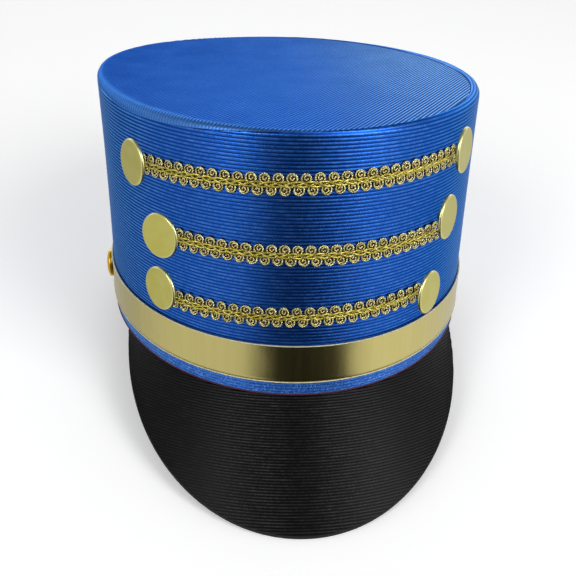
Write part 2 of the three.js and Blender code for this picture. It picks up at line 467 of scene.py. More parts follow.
@dataclass(frozen=True)
class EdgeThread:
    """Plain spun thread, such as the one that shows along the crown's foot."""

    name: str
    base: Colour
    dark: Colour

    def build(self) -> Any:
        """The material."""
        s = Shade(self.name)
        along, across = s.cloth()
        twist = (along * 3.2 + across * 4.0).sine() * 0.5 + 0.5
        fuzz = s.cloud(s.here(), 4.0, 2.0, 0.6)
        tone = s.blend((twist * 0.7 + fuzz * 0.3).step(0.2, 0.8), self.dark, self.base)
        return s.finish(Base_Color=tone, Roughness=0.7 + fuzz * 0.2, Normal=s.bump(twist, 0.08))


FINISHES = (
    CordedCloth("crown_satin", srgb(38, 99, 195), srgb(15, 60, 145), srgb(122, 180, 252), 1.36,
                0.3, painted_sheen_share=0.4, painted_side_light=0.58, both=True, hem=6.4, metal=0.93,
                glance=(0.38, 0.64, 1.0)),
    CordedCloth("lid_satin", srgb(50, 100, 182), srgb(12, 46, 130), srgb(160, 208, 255), 1.45,
                0.36, fold=0.68, ridge_share=0.25, painted_sheen_share=0.2, painted_side_light=0.78, painted_roll_light=0.6,
                painted_roll_colour=srgb(96, 160, 240), crest=0.8, glance=(0.42, 0.64, 1.0)),
    PlainCloth("cloth_back", srgb(28, 62, 140), srgb(14, 34, 84)),
    CordedCloth("peak_satin", srgb(9, 9, 10), srgb(0, 0, 0), srgb(92, 92, 94), 1.15, 0.42,
                fold=0.45, ridge_share=0.5, painted_sheen_share=0.4, painted_side_light=0.1, painted_middle_shade=0.5, crest=0.66,
                even=0.2, calm=0.7, metal=0.0, gloss=0.1),
    PlainCloth("peak_lining", srgb(26, 26, 28), srgb(12, 12, 13)),
    FoilRibbon("gold_foil", srgb(205, 192, 122), srgb(222, 212, 150), srgb(150, 132, 62)),
    GoldThread("ribbon_edge", srgb(238, 240, 232), srgb(214, 210, 180), srgb(160, 150, 110),
               0.3, 0.45),
    GoldThread("gimp_gold", srgb(255, 252, 218), srgb(222, 210, 142), srgb(120, 102, 50),
               0.9, 0.24, grain=1.5),
    GoldThread("plait_gold", srgb(248, 240, 160), srgb(192, 178, 76), srgb(104, 88, 22),
               0.8, 0.28, grain=1.5),
    GoldThread("braid_core", srgb(112, 86, 42), srgb(52, 36, 18), srgb(20, 12, 6), 0.3, 0.6),
    ButtonMetal("button_brass", srgb(200, 193, 98), srgb(220, 215, 150), srgb(166, 156, 72)),
    ButtonMetal("side_button_brass", srgb(232, 180, 34), srgb(244, 204, 70), srgb(160, 116, 20)),
    EdgeThread("foot_thread_red", srgb(96, 30, 60), srgb(50, 12, 34)),
)


# Meshes


def add_object(name: str, data: Any) -> Any:
    """Puts a mesh, a light or a camera into the scene."""
    made = bpy.data.objects.new(name, data)
    bpy.context.scene.collection.objects.link(made)
    return made


def closed(grid: np.ndarray) -> np.ndarray:
    """A grid whose first column comes again after its last."""
    return np.concatenate([grid, grid[:, :1]], 1)


def distances(line: np.ndarray) -> np.ndarray:
    """How far along a line of points each one is."""
    steps = np.linalg.norm(np.diff(line, axis=0), axis=1)
    return np.concatenate([[0.0], np.cumsum(steps)])


def cloth_places(along: np.ndarray, across: np.ndarray) -> np.ndarray:
    """The places on the cloth of a grid: a value for each column, and one for each row."""
    across = across[:, None] if across.ndim == 1 else across
    return np.stack(np.broadcast_arrays(along, across), -1)


def round_places(grid: np.ndarray, across: np.ndarray) -> np.ndarray:
    """The places on the cloth of a closed grid that runs once round the crown."""
    return cloth_places(np.linspace(0.0, ROUND, grid.shape[1]), across)


def round_angles(count: int) -> np.ndarray:
    """Evenly spaced angles once round, without the first again at the end."""
    return np.linspace(0, 2 * math.pi, count + 1)[:-1]


def border(grid: np.ndarray) -> np.ndarray:
    """The outermost values of a grid, once round."""
    return np.concatenate([grid[0, :-1], grid[:-1, -1], grid[-1, :0:-1], grid[:0:-1, 0]])


def set_attribute(mesh: Any, name: str, values: np.ndarray) -> None:
    """Keeps a number or a vector for each point of a mesh."""
    kind, part = ("FLOAT", "value") if values.ndim == 1 else ("FLOAT_VECTOR", "vector")
    held = mesh.attributes.new(name, kind, "POINT")
    held.data.foreach_set(part, values.astype(np.float32).ravel())


class Skin:
    """Gathers grids of points into one mesh that keeps the place of each corner on its cloth."""

    def __init__(self, rest: "Resting") -> None:
        """Starts with nothing in it, for a hat that lies at that place."""
        self.rest = rest
        self.points: list[np.ndarray] = []
        self.run: list[np.ndarray] = []
        self.raised: list[np.ndarray] = []
        self.faces: list[list[int]] = []
        self.corners: list[np.ndarray] = []
        self.finish: list[int] = []
        self.count = 0

    def add(self, points: np.ndarray, run: Any = 0.0, raised: Any = 0.0) -> np.ndarray:
        """Adds points.

        Args:
            points: an array whose last axis is x, y, z in the upright hat's millimetres.
            run: each point's distance across the ribs, in millimetres.
            raised: how far the ribs stand up there, from 0 to 1.

        Returns:
            The points' numbers in the mesh, in the same arrangement.
        """
        shape = points.shape[:-1]
        amount = int(np.prod(shape))
        self.points.append(self.rest.place(points).reshape(-1, 3))
        self.run.append(np.broadcast_to(run, shape).reshape(-1))
        self.raised.append(np.broadcast_to(raised, shape).reshape(-1))
        numbers = np.arange(self.count, self.count + amount).reshape(shape)
        self.count += amount
        return numbers

    def quads(self, numbers: np.ndarray, cloth: np.ndarray, turn: bool = False,
              finish: int = 0) -> None:
        """Joins a grid of points by four-sided faces.

        Args:
            numbers: the points' numbers, in rows and columns.
            cloth: each one's place on the cloth, with a last axis of two.
            turn: whether the faces look the other way.
            finish: the place of their material in the piece's list.
        """
        corners = [(slice(None, -1), slice(None, -1)), (slice(None, -1), slice(1, None)),
                   (slice(1, None), slice(1, None)), (slice(1, None), slice(None, -1))]
        corners = corners[::-1] if turn else corners
        faces = np.stack([numbers[c] for c in corners], -1).reshape(-1, 4)
        places = np.stack([cloth[c] for c in corners], -2).reshape(-1, 4, 2)
        self.faces.extend(faces.tolist())
        self.corners.append(places.reshape(-1, 2))
        self.finish.extend([finish] * len(faces))

    def fan(self, ring: np.ndarray, middle: Any, cloth: np.ndarray, turn: bool = False,
            finish: int = 0) -> None:
        """Closes a ring of points by triangles to one in its middle.

        Args:
            ring: the ring's numbers, with the first again at the end.
            middle: the middle point's number.
            cloth: the ring's places on the cloth.
            turn: whether the faces look the other way.
            finish: the place of their material in the piece's list.
        """
        centre = cloth[:-1].mean(0)
        for k in range(len(ring) - 1):
            face = [int(ring[k]), int(ring[k + 1]), int(middle)]
            place = [cloth[k], cloth[k + 1], centre]
            self.faces.append(face[::-1] if turn else face)
            self.corners.append(np.array(place[::-1] if turn else place))
            self.finish.append(finish)

    def build(self, name: str, materials: list[Any], crease: float = 40.0) -> Any:
        """Makes the object.

        Args:
            name: its name.
            materials: its materials.
            crease: the angle in degrees past which an edge is sharp.

        Returns:
            The object, in the scene.
        """
        mesh = bpy.data.meshes.new(name)
        mesh.from_pydata(np.concatenate(self.points).tolist(), [], self.faces)
        layer = mesh.uv_layers.new(name="cloth")
        layer.data.foreach_set("uv", np.concatenate(self.corners).astype(np.float32).ravel())
        for title, values in (("run", self.run), ("raised", self.raised)):
            set_attribute(mesh, title, np.concatenate(values))
        for material in materials:
            mesh.materials.append(material)
        mesh.polygons.foreach_set("material_index", np.array(self.finish, np.int32))
        mesh.shade_smooth()
        mesh.set_sharp_from_angle(angle=math.radians(crease))
        mesh.update()
        return add_object(name, mesh)


class GeometryTree(Graph):
    """A Geometry Nodes tree with named inputs."""

    def __init__(self, name: str, inputs: dict[str, tuple[str, Any]]) -> None:
        """Starts a tree.

        Args:
            name: the tree's name.
            inputs: each input's socket type and first value by its name.
        """
        super().__init__(bpy.data.node_groups.new(name, "GeometryNodeTree"))
        face = self.tree.interface
        face.new_socket("Geometry", in_out="INPUT", socket_type="NodeSocketGeometry")
        face.new_socket("Geometry", in_out="OUTPUT", socket_type="NodeSocketGeometry")
        for title, (kind, value) in inputs.items():
            made = face.new_socket(title, in_out="INPUT", socket_type=kind)
            if value is not None:
                made.default_value = value
        self.entry = self.tree.nodes.new("NodeGroupInput")

    def given(self, name: str) -> Wire:
        """One of the tree's inputs."""
        return Wire(self, self.entry.outputs[name])

    def held(self, name: str, kind: str = "FLOAT") -> Wire:
        """An attribute that the mesh holds."""
        return self.add("GeometryNodeInputNamedAttribute", {"data_type": kind}, {"Name": name})

    def placed(self, geometry: Any, offset: Wire) -> Wire:
        """A geometry, moved."""
        values = {"Geometry": geometry, "Offset": offset}
        return self.add("GeometryNodeSetPosition", None, values)

    def painted(self, geometry: Wire, material: str) -> Wire:
        """A geometry in the material of that input."""
        values = {"Geometry": geometry, "Material": self.given(material)}
        return self.add("GeometryNodeSetMaterial", None, values)

    def joined(self, parts: list[Wire]) -> Wire:
        """Several geometries as one."""
        made = self.node("GeometryNodeJoinGeometry")
        for part in parts:
            self.tree.links.new(part.socket, made.inputs[0])
        return Wire(self, made.outputs[0])

    def close(self, geometry: Wire) -> None:
        """Ends the tree in a geometry whose instances are made real."""
        real = self.add("GeometryNodeRealizeInstances", None, {"Geometry": geometry})
        self.node("NodeGroupOutput", None, {"Geometry": real})

    def apply(self, made: Any, values: dict[str, Any]) -> Any:
        """Runs the tree on an object and leaves a plain mesh.

        Args:
            made: the object.
            values: the tree's inputs by name.

        Returns:
            The object.
        """
        modifier = made.modifiers.new(self.tree.name, "NODES")
        modifier.node_group = self.tree
        for item in self.tree.interface.items_tree:
            if item.in_out == "INPUT" and item.name in values:
                modifier[item.identifier] = values[item.name]
        bpy.context.view_layer.update()
        graph = bpy.context.evaluated_depsgraph_get()
        mesh = bpy.data.meshes.new_from_object(
            made.evaluated_get(graph), preserve_all_data_layers=True, depsgraph=graph)
        old = made.data
        made.modifiers.clear()
        made.data = mesh
        bpy.data.meshes.remove(old)
        mesh.name = made.name
        return made


def ribbing() -> GeometryTree:
    """A tree that raises even ribs on a fine mesh, along its own attribute of run."""
    g = GeometryTree("ribbing", {
        "Pitch": ("NodeSocketFloat", 1.36),
        "Depth": ("NodeSocketFloat", 0.0002),
        "Unevenness": ("NodeSocketFloat", 0.2),
        "Seed": ("NodeSocketInt", 3),
    })
    run = g.held("run")
    rib = abs((run * math.pi / g.given("Pitch")).sine())
    place = g.add("GeometryNodeInputPosition")
    values = {"Vector": place, "W": g.given("Seed"), "Scale": 60.0, "Detail": 2.0}
    cloud = g.add("ShaderNodeTexNoise", {"noise_dimensions": "4D"}, values)
    uneven = 1.0 + (cloud - 0.5) * g.given("Unevenness")
    lift = (rib ** 0.8) * g.given("Depth") * g.held("raised") * uneven
    offset = g.scaled(g.add("GeometryNodeInputNormal"), lift)
    g.close(g.placed(g.given("Geometry"), offset))
    return g


def ribbed(made: Any, tree: GeometryTree, pitch: float, depth: float, uneven: float) -> Any:
    """Raises the ribs of a cloth, whose pitch and depth are in millimetres."""
    return tree.apply(made, {"Pitch": pitch, "Depth": depth * MM, "Unevenness": uneven})


# The hat's form


@dataclass(frozen=True)
class HatForm:
    """The oval crown's sizes in millimetres, as its solids have them."""

    opening_width: float = 172.0
    opening_length: float = 208.0
    wall: float = 2.0
    height: float = 106.0
    top_width: float = 175.0
    top_length: float = 210.0
    set_back: float = 9.5
    top_thickness: float = 2.4
    clearance: float = 0.3
    band_raise: float = 6.2
    band_width: float = 16.6
    band_thickness: float = 1.0
    shoulder: float = 1.7
    soft_left: float = 2.0
    soft_left_angle: float = -48.0
    soft_right: float = 1.2
    soft_right_angle: float = 62.0
    lift: float = 3.2
    lift_angle: float = -95.0
    small_lift: float = 1.0
    small_lift_angle: float = 78.0
    flare_start: float = 45.0
    flare_arm: float = 95.0

    @property
    def band_top(self) -> float:
        """The height of the ribbon's upper edge."""
        return self.band_raise + self.band_width

    def rounding(self, angle: np.ndarray) -> np.ndarray:
        """The shoulder's radius round the crown, larger where its edge is soft."""
        left = 0.5 + 0.5 * np.cos(angle - math.radians(self.soft_left_angle))
        right = 0.5 + 0.5 * np.cos(angle - math.radians(self.soft_right_angle))
        return self.shoulder + self.soft_left * left ** 14 + self.soft_right * right ** 6

    def lifted(self, points: np.ndarray) -> np.ndarray:
        """Lifts and flares the top's soft edge where the cloth stands a little higher."""
        x, y, z = points[..., 0], points[..., 1], points[..., 2]
        start = self.flare_start
        high = np.clip((z - start) / (self.height - start), 0.0, 1.02) ** 2
        result = points.copy()
        for amount, turn in ((self.lift, self.lift_angle),
                             (self.small_lift, self.small_lift_angle)):
            a = math.radians(turn)
            share = (x * math.sin(a) - (y - self.set_back) * math.cos(a)) / self.flare_arm
            rise = amount * np.clip(share, 0.0, None) ** 3 * high
            result[..., 2] += rise
            result[..., 0] += rise * math.sin(a) * 0.5
            result[..., 1] -= rise * math.cos(a) * 0.5
        return result

    def oval(self, height: Any) -> tuple[Any, Any, Any]:
        """The half width, half length and set-back of the outer face at a height."""
        share = np.asarray(height, float) / self.height
        width = self.opening_width / 2 + self.wall
        length = self.opening_length / 2 + self.wall
        return (width + (self.top_width / 2 - width) * share,
                length + (self.top_length / 2 - length) * share, self.set_back * share)

    def face(self, angle: Any, height: Any, out: Any = 0.0) -> np.ndarray:
        """Points of the outer face, moved out level.

        Args:
            angle: 0 at the front, growing towards +X, in radians.
            height: above the foot.
            out: how far the point is moved out.

        Returns:
            The points in the upright hat's millimetres.
        """
        angle, height, out = np.broadcast_arrays(np.asarray(angle, float), height, out)
        width, length, back = self.oval(height)
        across, along = np.sin(angle), -np.cos(angle)
        reach = np.hypot(across / width, along / length)
        x = width * across + across / width / reach * out
        y = back + length * along + along / length / reach * out
        return np.stack([x, y, height + 0.0 * x], -1)

    def axes(self, angle: float, height: float) -> tuple[np.ndarray, np.ndarray, np.ndarray]:
        """The directions to the right, up the face and out of it."""
        step = 0.001
        right = self.face(angle + step, height) - self.face(angle - step, height)
        rise = self.face(angle, height + step) - self.face(angle, height - step)
        right, rise = right / np.linalg.norm(right), rise / np.linalg.norm(rise)
        out = np.cross(right, rise)
        out /= np.linalg.norm(out)
        return right, np.cross(out, right), out

    def arm(self, angle: np.ndarray) -> np.ndarray:
        """How far the top's outline stands from its middle, along its own normal."""
        width, length, _ = self.oval(self.height)
        across, along = np.sin(angle), -np.cos(angle)
        return 1.0 / np.hypot(across / width, along / length)

    def rim(self, angle: np.ndarray, passed: np.ndarray, lift: Any = 0.0) -> np.ndarray:
        """Points over the shoulder, from the wall onto the flat top.

        Args:
            angle: round the crown.
            passed: distance run up the cloth past the start of the shoulder, below 0 on the wall.
            lift: distance off the surface.

        Returns:
            The points in the upright hat's millimetres.
        """
        angle, passed, lift = np.broadcast_arrays(angle, passed, lift)
        r = self.rounding(angle)
        bend = np.clip(passed / r, 0.0, math.pi / 2)
        over = np.maximum(passed - r * math.pi / 2, 0.0)
        below = np.minimum(passed, 0.0)
        out = -r + (r + lift) * np.cos(bend) - over
        height = self.height - r + (r + lift) * np.sin(bend) + below
        level = np.minimum(height, self.height)
        point = self.face(angle, level)
        _, _, back = self.oval(level)
        share = 1.0 + out / self.arm(angle)
        x = point[..., 0] * share
        y = back + (point[..., 1] - back) * share
        return np.stack([x, y, height], -1)

    def on_wall(self, share: Any) -> Any:
        """A height given as a share of the wall between the ribbon and the top."""
        return self.band_top + (self.height - self.band_top) * share


# The seam's mean level, then the sine and the cosine of each wave round the crown
SEAM = (2.64, (2.51, -0.44), (0.36, -0.86), (0.11, 0.24),
        (-0.01, 0.07), (-0.12, -0.01))


def seam(angle: np.ndarray) -> np.ndarray:
    """How far past the start of the shoulder the top's seam lies, round the crown.

    Args:
        angle: round the crown, 0 at the front.

    Returns:
        Millimetres, below 0 where the top's cloth is drawn down over the edge.
    """
    level, *waves = SEAM
    return level + sum(sine * np.sin(k * angle) + cosine * np.cos(k * angle)
                       for k, (sine, cosine) in enumerate(waves, 1))


@dataclass(frozen=True)
class PeakForm:
    """The peak's sizes in millimetres, as its solid has them."""

    hat: HatForm
    length: float = 55.0
    slope: float = 42.0
    spread: float = 60.0
    thickness: float = 2.0
    end_lip: float = 1.2
    splay: float = 0.5
    roundness: float = 2.03
    taper: float = 1.2

    def reach(self, place: np.ndarray) -> np.ndarray:
        """How far the peak stands out at a place across it, from -1 to 1."""
        bow = (1.0 - np.minimum(np.abs(place), 1.0) ** self.roundness) ** self.taper
        return self.end_lip + (self.length - self.end_lip) * bow

    def at(self, place: Any, along: Any, rise: Any = 0.0, inside: Any = 0.0) -> np.ndarray:
        """Points of the peak.

        Args:
            place: from -1 at its left end to 1 at its right.
            along: distance down the slope from the crown's foot.
            rise: distance off the slope.
            inside: how far the point is moved in under the foot.

        Returns:
            The points in the upright hat's millimetres.
        """
        place, along, rise, inside = np.broadcast_arrays(place, along, rise, inside)
        angle = place * math.radians(self.spread)
        foot = self.hat.face(angle, 0.0, -inside)
        outward = self.hat.face(angle, 0.0, 1.0) - self.hat.face(angle, 0.0)
        forward = np.stack([outward[..., 0] * self.splay, outward[..., 1]], -1)
        forward /= np.linalg.norm(forward, axis=-1, keepdims=True)
        slope = math.radians(self.slope)
        out = along * math.cos(slope) + rise * math.sin(slope)
        down = along * math.sin(slope) - rise * math.cos(slope)
        point = foot.copy()
        point[..., :2] += forward * out[..., None]
        point[..., 2] -= self.hat.clearance + down
        return point


@dataclass(frozen=True)
class Resting:
    """The hat's place on the table: laid back, then moved."""

    turn: float
    shift: np.ndarray
    peak_columns: ClassVar[int] = 45
    peak_bends: ClassVar[int] = 5
    wall_columns: ClassVar[int] = 84

    @classmethod
    def of(cls, hat: HatForm, peak: PeakForm) -> "Resting":
        """Works out how the hat lies from its own form and from its wall's box.

        Args:
            hat: the crown's form.
            peak: the peak's form.

        Returns:
            The resting place.
        """
        places = np.linspace(-1.0, 1.0, cls.peak_columns)[:, None]
        bends = np.linspace(math.pi / 2, -math.pi / 2, cls.peak_bends)[None, :]
        edge = peak.thickness / 2
        along = peak.reach(places) - edge + edge * np.cos(bends)
        points = peak.at(places, along, edge * np.sin(bends) - edge).reshape(-1, 3)
        heel = hat.face(math.pi, 0.0)
        turn = -float(np.max(np.arctan2(-points[:, 2], heel[1] - points[:, 1])))
        angles = np.arange(cls.wall_columns) * 2 * math.pi / cls.wall_columns
        top = hat.height - hat.top_thickness - hat.clearance
        wall = np.concatenate([hat.face(angles, 0.0), hat.face(angles, top)])
        wall = cls(turn, np.zeros(3)).place(wall)
        low, high = (np.array(corner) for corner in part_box("crown_wall"))
        middle = (low + high) / 2 - (wall.min(0) + wall.max(0)) / 2
        return cls(turn, middle / MM)

    def turned(self, vectors: np.ndarray) -> np.ndarray:
        """Directions of the upright hat as they lie at rest."""
        cos, sin = math.cos(self.turn), math.sin(self.turn)
        x, y, z = vectors[..., 0], vectors[..., 1], vectors[..., 2]
        return np.stack([x, y * cos - z * sin, y * sin + z * cos], -1)

    def place(self, points: np.ndarray) -> np.ndarray:
        """Points of the upright hat, in millimetres, as they lie at rest, in metres."""
        return (self.turned(points) + self.shift) * MM


# Sub-assemblies


@dataclass
class Crown:
    """The crown's side and top, each one closed sheet of corded satin."""

    hat: HatForm
    rest: Resting
    pitch: float = 1.36
    depth: float = 0.18
    columns: int = 200
    top_pitch: float = 1.45
    top_depth: float = 0.34
    top_columns: int = 60
    top_direction: float = 58.0
    rows_per_rib: int = 4
    unevenness: float = 0.5
    tuck: float = 0.7
    hem: float = 0.5
    overrun: float = 6.6
    under: float = 0.9
    sink_start: float = 0.2
    sink_run: float = 0.5
    hidden_step: float = 2.5

    def side_rows(self) -> np.ndarray:
        """The distances up the cloth at which the side has its rows of points."""
        step = self.pitch / self.rows_per_rib
        last = self.hat.height - self.hat.shoulder + self.overrun
        rows = np.arange(1, int(last / step)) * step
        hidden = (rows > self.hat.band_raise + 1) & (rows < self.hat.band_top - 1)
        behind = np.arange(self.hat.band_raise + 1, self.hat.band_top - 1, self.hidden_step)
        return np.sort(np.concatenate([rows[~hidden], behind]))

    def side(self, tree: GeometryTree, cloth: Any, back: Any) -> Any:
        """Makes the side, which dives under the top's cloth where that ends.

        Args:
            tree: the tree that raises its ribs.
            cloth: its outer material.
            back: its inner material.

        Returns:
            The object.
        """
        hat, skin = self.hat, Skin(self.rest)
        angle = np.arange(self.columns) * 2 * math.pi / self.columns
        rows = self.side_rows()
        passed = rows[:, None] - (hat.height - hat.rounding(angle))
        line = seam(angle)[None, :]
        limit = np.minimum(passed, line + self.under)
        sunk = np.clip((limit - line + self.sink_start) / self.sink_run, 0.0, 1.0)
        sunk = self.tuck * sunk * sunk * (3 - 2 * sunk)
        outer = hat.lifted(hat.rim(angle, limit, -sunk))
        hidden = (rows > hat.band_raise + 0.4) & (rows < hat.band_top - 0.4)
        raised = np.where(hidden[:, None] | (passed > line + 0.3), 0.0, 1.0)
        raised = raised * np.clip(rows / 1.5, 0.0, 1.0)[:, None]
        raised = raised * np.where(rows < hat.band_raise, 0.45, 1.0)[:, None]
        numbers = closed(skin.add(outer, rows[:, None], raised))
        skin.quads(numbers, round_places(numbers, rows))

        ceiling = hat.height - hat.top_thickness - hat.clearance
        levels = np.linspace(ceiling - 0.4, self.hem, 12)
        inner = hat.face(angle, levels[:, None], -hat.wall)
        close = hat.lifted(hat.rim(angle, limit[-1:], -sunk[-1:] - 0.8))
        foot = np.stack([
            hat.face(angle, 0.12, -hat.wall + 0.15), hat.face(angle, 0.0, -hat.wall + 0.5),
            hat.face(angle, 0.0, -0.5), hat.face(angle, 0.12, -0.12),
        ])
        ring = np.concatenate([outer[-1:], close, inner, foot, outer[:1]])
        middle = closed(skin.add(ring[1:-1]))
        loop = np.concatenate([numbers[-1:], middle, numbers[:1]])
        skin.quads(loop, round_places(loop, distances(ring[:, 0])), finish=1)
        made = skin.build("crown_side", [cloth, back])
        return ribbed(made, tree, self.pitch, self.depth, self.unevenness)

    def drape(self, flat: np.ndarray) -> tuple[np.ndarray, np.ndarray]:
        """Lays the flat cloth of the top over the crown.

        Args:
            flat: places on the cloth, measured from its middle.

        Returns:
            The points in the upright hat's millimetres, and how far each is past the edge.
        """
        hat = self.hat
        width, length, back = hat.oval(hat.height)
        x, y = flat[..., 0], flat[..., 1]
        angle = np.arctan2(x / width, -y / length)
        ratio = np.hypot(x / width, y / length)
        radius = hat.rounding(angle)
        beyond = (ratio - 1.0) * hat.arm(angle) + radius
        over = hat.rim(angle, radius * math.pi / 2 - np.maximum(beyond, 0.0))
        level = np.stack([x, y + back, np.full_like(x, hat.height)], -1)
        return hat.lifted(np.where((beyond > 0.0)[..., None], over, level)), beyond

    def calm(self, flat: np.ndarray) -> np.ndarray:
        """How smooth the top's edge is, from 0 to 1: most so a little left of the front."""
        angle = np.degrees(np.arctan2(flat[..., 0], -flat[..., 1]))
        return np.exp(-((angle + 22.0) / 22.0) ** 2)

    def top_edge(self, angle: np.ndarray, inset: float) -> np.ndarray:
        """The outline of the top's flat cloth, measured from its middle."""
        width, length, _ = self.hat.oval(self.hat.height)
        radius = self.hat.rounding(angle)
        beyond = radius * (math.pi / 2 - 1) - seam(angle) - inset
        share = 1.0 + beyond / self.hat.arm(angle)
        return np.stack([width * np.sin(angle) * share, -length * np.cos(angle) * share], -1)

    def top_chords(self, along: np.ndarray, across: np.ndarray) -> tuple[np.ndarray, np.ndarray]:
        """Lays rows along the ribs inside the top's outline.

        Args:
            along: the outline's points, measured along the ribs.
            across: the same points, measured across them.

        Returns:
            Where each row lies across the ribs, and its two ends along them.
        """
        low, high = int(np.argmin(across)), int(np.argmax(across))
        order = np.roll(np.arange(len(across)), -low)
        split = (high - low) % len(across)
        step = self.top_pitch / self.rows_per_rib
        rows = np.arange(math.ceil(across[low] / step) * step, across[high], step)
        rows = rows[(rows > across[low] + 0.02) & (rows < across[high] - 0.02)]
        ends = []
        for half in (order[:split + 1], order[split:]):
            half = half[np.argsort(across[half], kind="stable")]
            ends.append(np.interp(rows, across[half], along[half]))
        return rows, np.sort(np.stack(ends), 0)

    def top(self, tree: GeometryTree, cloth: Any, back: Any) -> Any:
        """Makes the top, in rows of points that follow its diagonal ribs.

        Args:
            tree: the tree that raises its ribs.
            cloth: its outer material.
            back: its inner material.

        Returns:
            The object.
        """
        skin = Skin(self.rest)
        slant = math.radians(self.top_direction)
        ribwise = np.array([math.cos(slant), math.sin(slant)])
        crosswise = np.array([-math.sin(slant), math.cos(slant)])
        outline = self.top_edge(round_angles(6000), 0.05)
        rows, ends = self.top_chords(outline @ ribwise, outline @ crosswise)
        share = 0.5 - 0.5 * np.cos(np.linspace(0, math.pi, self.top_columns))
        spot = ends[0][:, None] + (ends[1] - ends[0])[:, None] * share[None, :]
        flat = spot[..., None] * ribwise + rows[:, None, None] * crosswise
        surface, beyond = self.drape(flat)
        raised = 1.0 - (0.5 + 0.3 * self.calm(flat)) * np.clip((beyond + 0.5) / 2.0, 0.0, 1.0)
        raised[0], raised[-1], raised[:, 0], raised[:, -1] = 0, 0, 0, 0
        numbers = skin.add(surface, rows[:, None], raised)
        skin.quads(numbers, cloth_places(spot, rows), turn=True)

        rim = border(surface)
        middle = np.array([0.0, self.hat.set_back])
        core = self.hat.height - 2.1

        def inset(share: float, height: Any) -> np.ndarray:
            """The rim, drawn in towards the middle, at another height."""
            level = middle + (rim[:, :2] - middle) * share
            return np.concatenate([level, np.broadcast_to(height, (len(rim), 1))], 1)

        under, shelf = inset(0.9955, rim[:, 2:] - 0.55), inset(0.955, core)
        rings = closed(np.stack([border(numbers), skin.add(under), skin.add(shelf)]))
        skin.quads(rings, round_places(rings, np.array([0.0, 1.0, 5.0])), finish=1, turn=True)
        centre = skin.add(np.array([*middle, core]))
        ring_place = np.concatenate([shelf[:, :2], shelf[:1, :2]])
        skin.fan(rings[-1], centre, ring_place, finish=1, turn=True)
        made = skin.build("crown_lid", [cloth, back])
        return ribbed(made, tree, self.top_pitch, self.top_depth, self.unevenness)

    def foot_thread(self, material: Any) -> Any:
        """Makes the thin thread that shows along the foot."""
        skin = Skin(self.rest)
        radius, lift, out, columns = 0.28, 0.25, 0.12, 220
        angle, turns = round_angles(columns), np.linspace(0, 2 * math.pi, 9)
        round_turns = turns[:-1, None]
        points = self.hat.face(angle, lift + radius * np.sin(round_turns),
                               out + radius * np.cos(round_turns))
        numbers = closed(skin.add(points))
        numbers = np.concatenate([numbers, numbers[:1]])
        skin.quads(numbers, round_places(numbers, turns))
        return skin.build("foot_thread", [material], 80)


@dataclass
class Band:
    """The gold ribbon round the foot, with a thin woven edge above and below."""

    hat: HatForm
    rest: Resting
    columns: int = 360
    ripple: float = 0.1
    cord: float = 0.2
    ripples: tuple = ((7, 1.0, 0.4), (13, 0.7, 2.1), (23, 0.5, 4.0), (41, 0.4, 0.0))

    def build(self, ribbon: Any, edge: Any) -> Any:
        """Makes the ribbon.

        Args:
            ribbon: its foil.
            edge: the thread of its edges.

        Returns:
            The object.
        """
        hat, skin, cord = self.hat, Skin(self.rest), self.cord
        angle = round_angles(self.columns)
        inside, outside = hat.clearance, hat.clearance + hat.band_thickness
        low, high = hat.band_raise, hat.band_top
        inner = np.linspace(low + cord * 2, high - cord * 2, 11)
        wave = sum(size * np.sin(count * angle + start) for count, size, start in self.ripples)
        swell = 1 - ((inner - (low + high) / 2) / (hat.band_width / 2)) ** 2
        out = outside - 0.2 + self.ripple * wave[None, :] * swell[:, None] * 0.5
        face = hat.face(angle, inner[:, None], np.minimum(out, outside))
        bends = np.linspace(-math.pi / 2, math.pi / 2, 7)

        def lip(middle: float, turn: float) -> np.ndarray:
            """One rounded edge, from the face round to the back."""
            height = middle + turn * cord * np.sin(bends)
            stand = (inside + outside) / 2 + (outside - inside) / 2 * np.cos(bends)
            return hat.face(angle, height[:, None], stand[:, None])

        heights = np.array([high - cord * 2, low + cord * 2])
        parts = [face, lip(high - cord, 1.0), hat.face(angle, heights[:, None], inside),
                 lip(low + cord, -1.0)]
        numbers = [skin.add(part) for part in parts]
        joined = closed(np.concatenate([*numbers, numbers[0][:1]]))
        points = np.concatenate([*parts, face[:1]])
        places = round_places(joined, distances(points[:, 0]))
        a, b = len(face), len(face) + len(bends)
        for first, last, finish in ((0, a, 0), (a - 1, b + 1, 1), (b, b + 2, 0),
                                    (b + 1, len(joined), 1)):
            skin.quads(joined[first:last], places[first:last], finish=finish)
        return skin.build("ribbon_band", [ribbon, edge], 60)


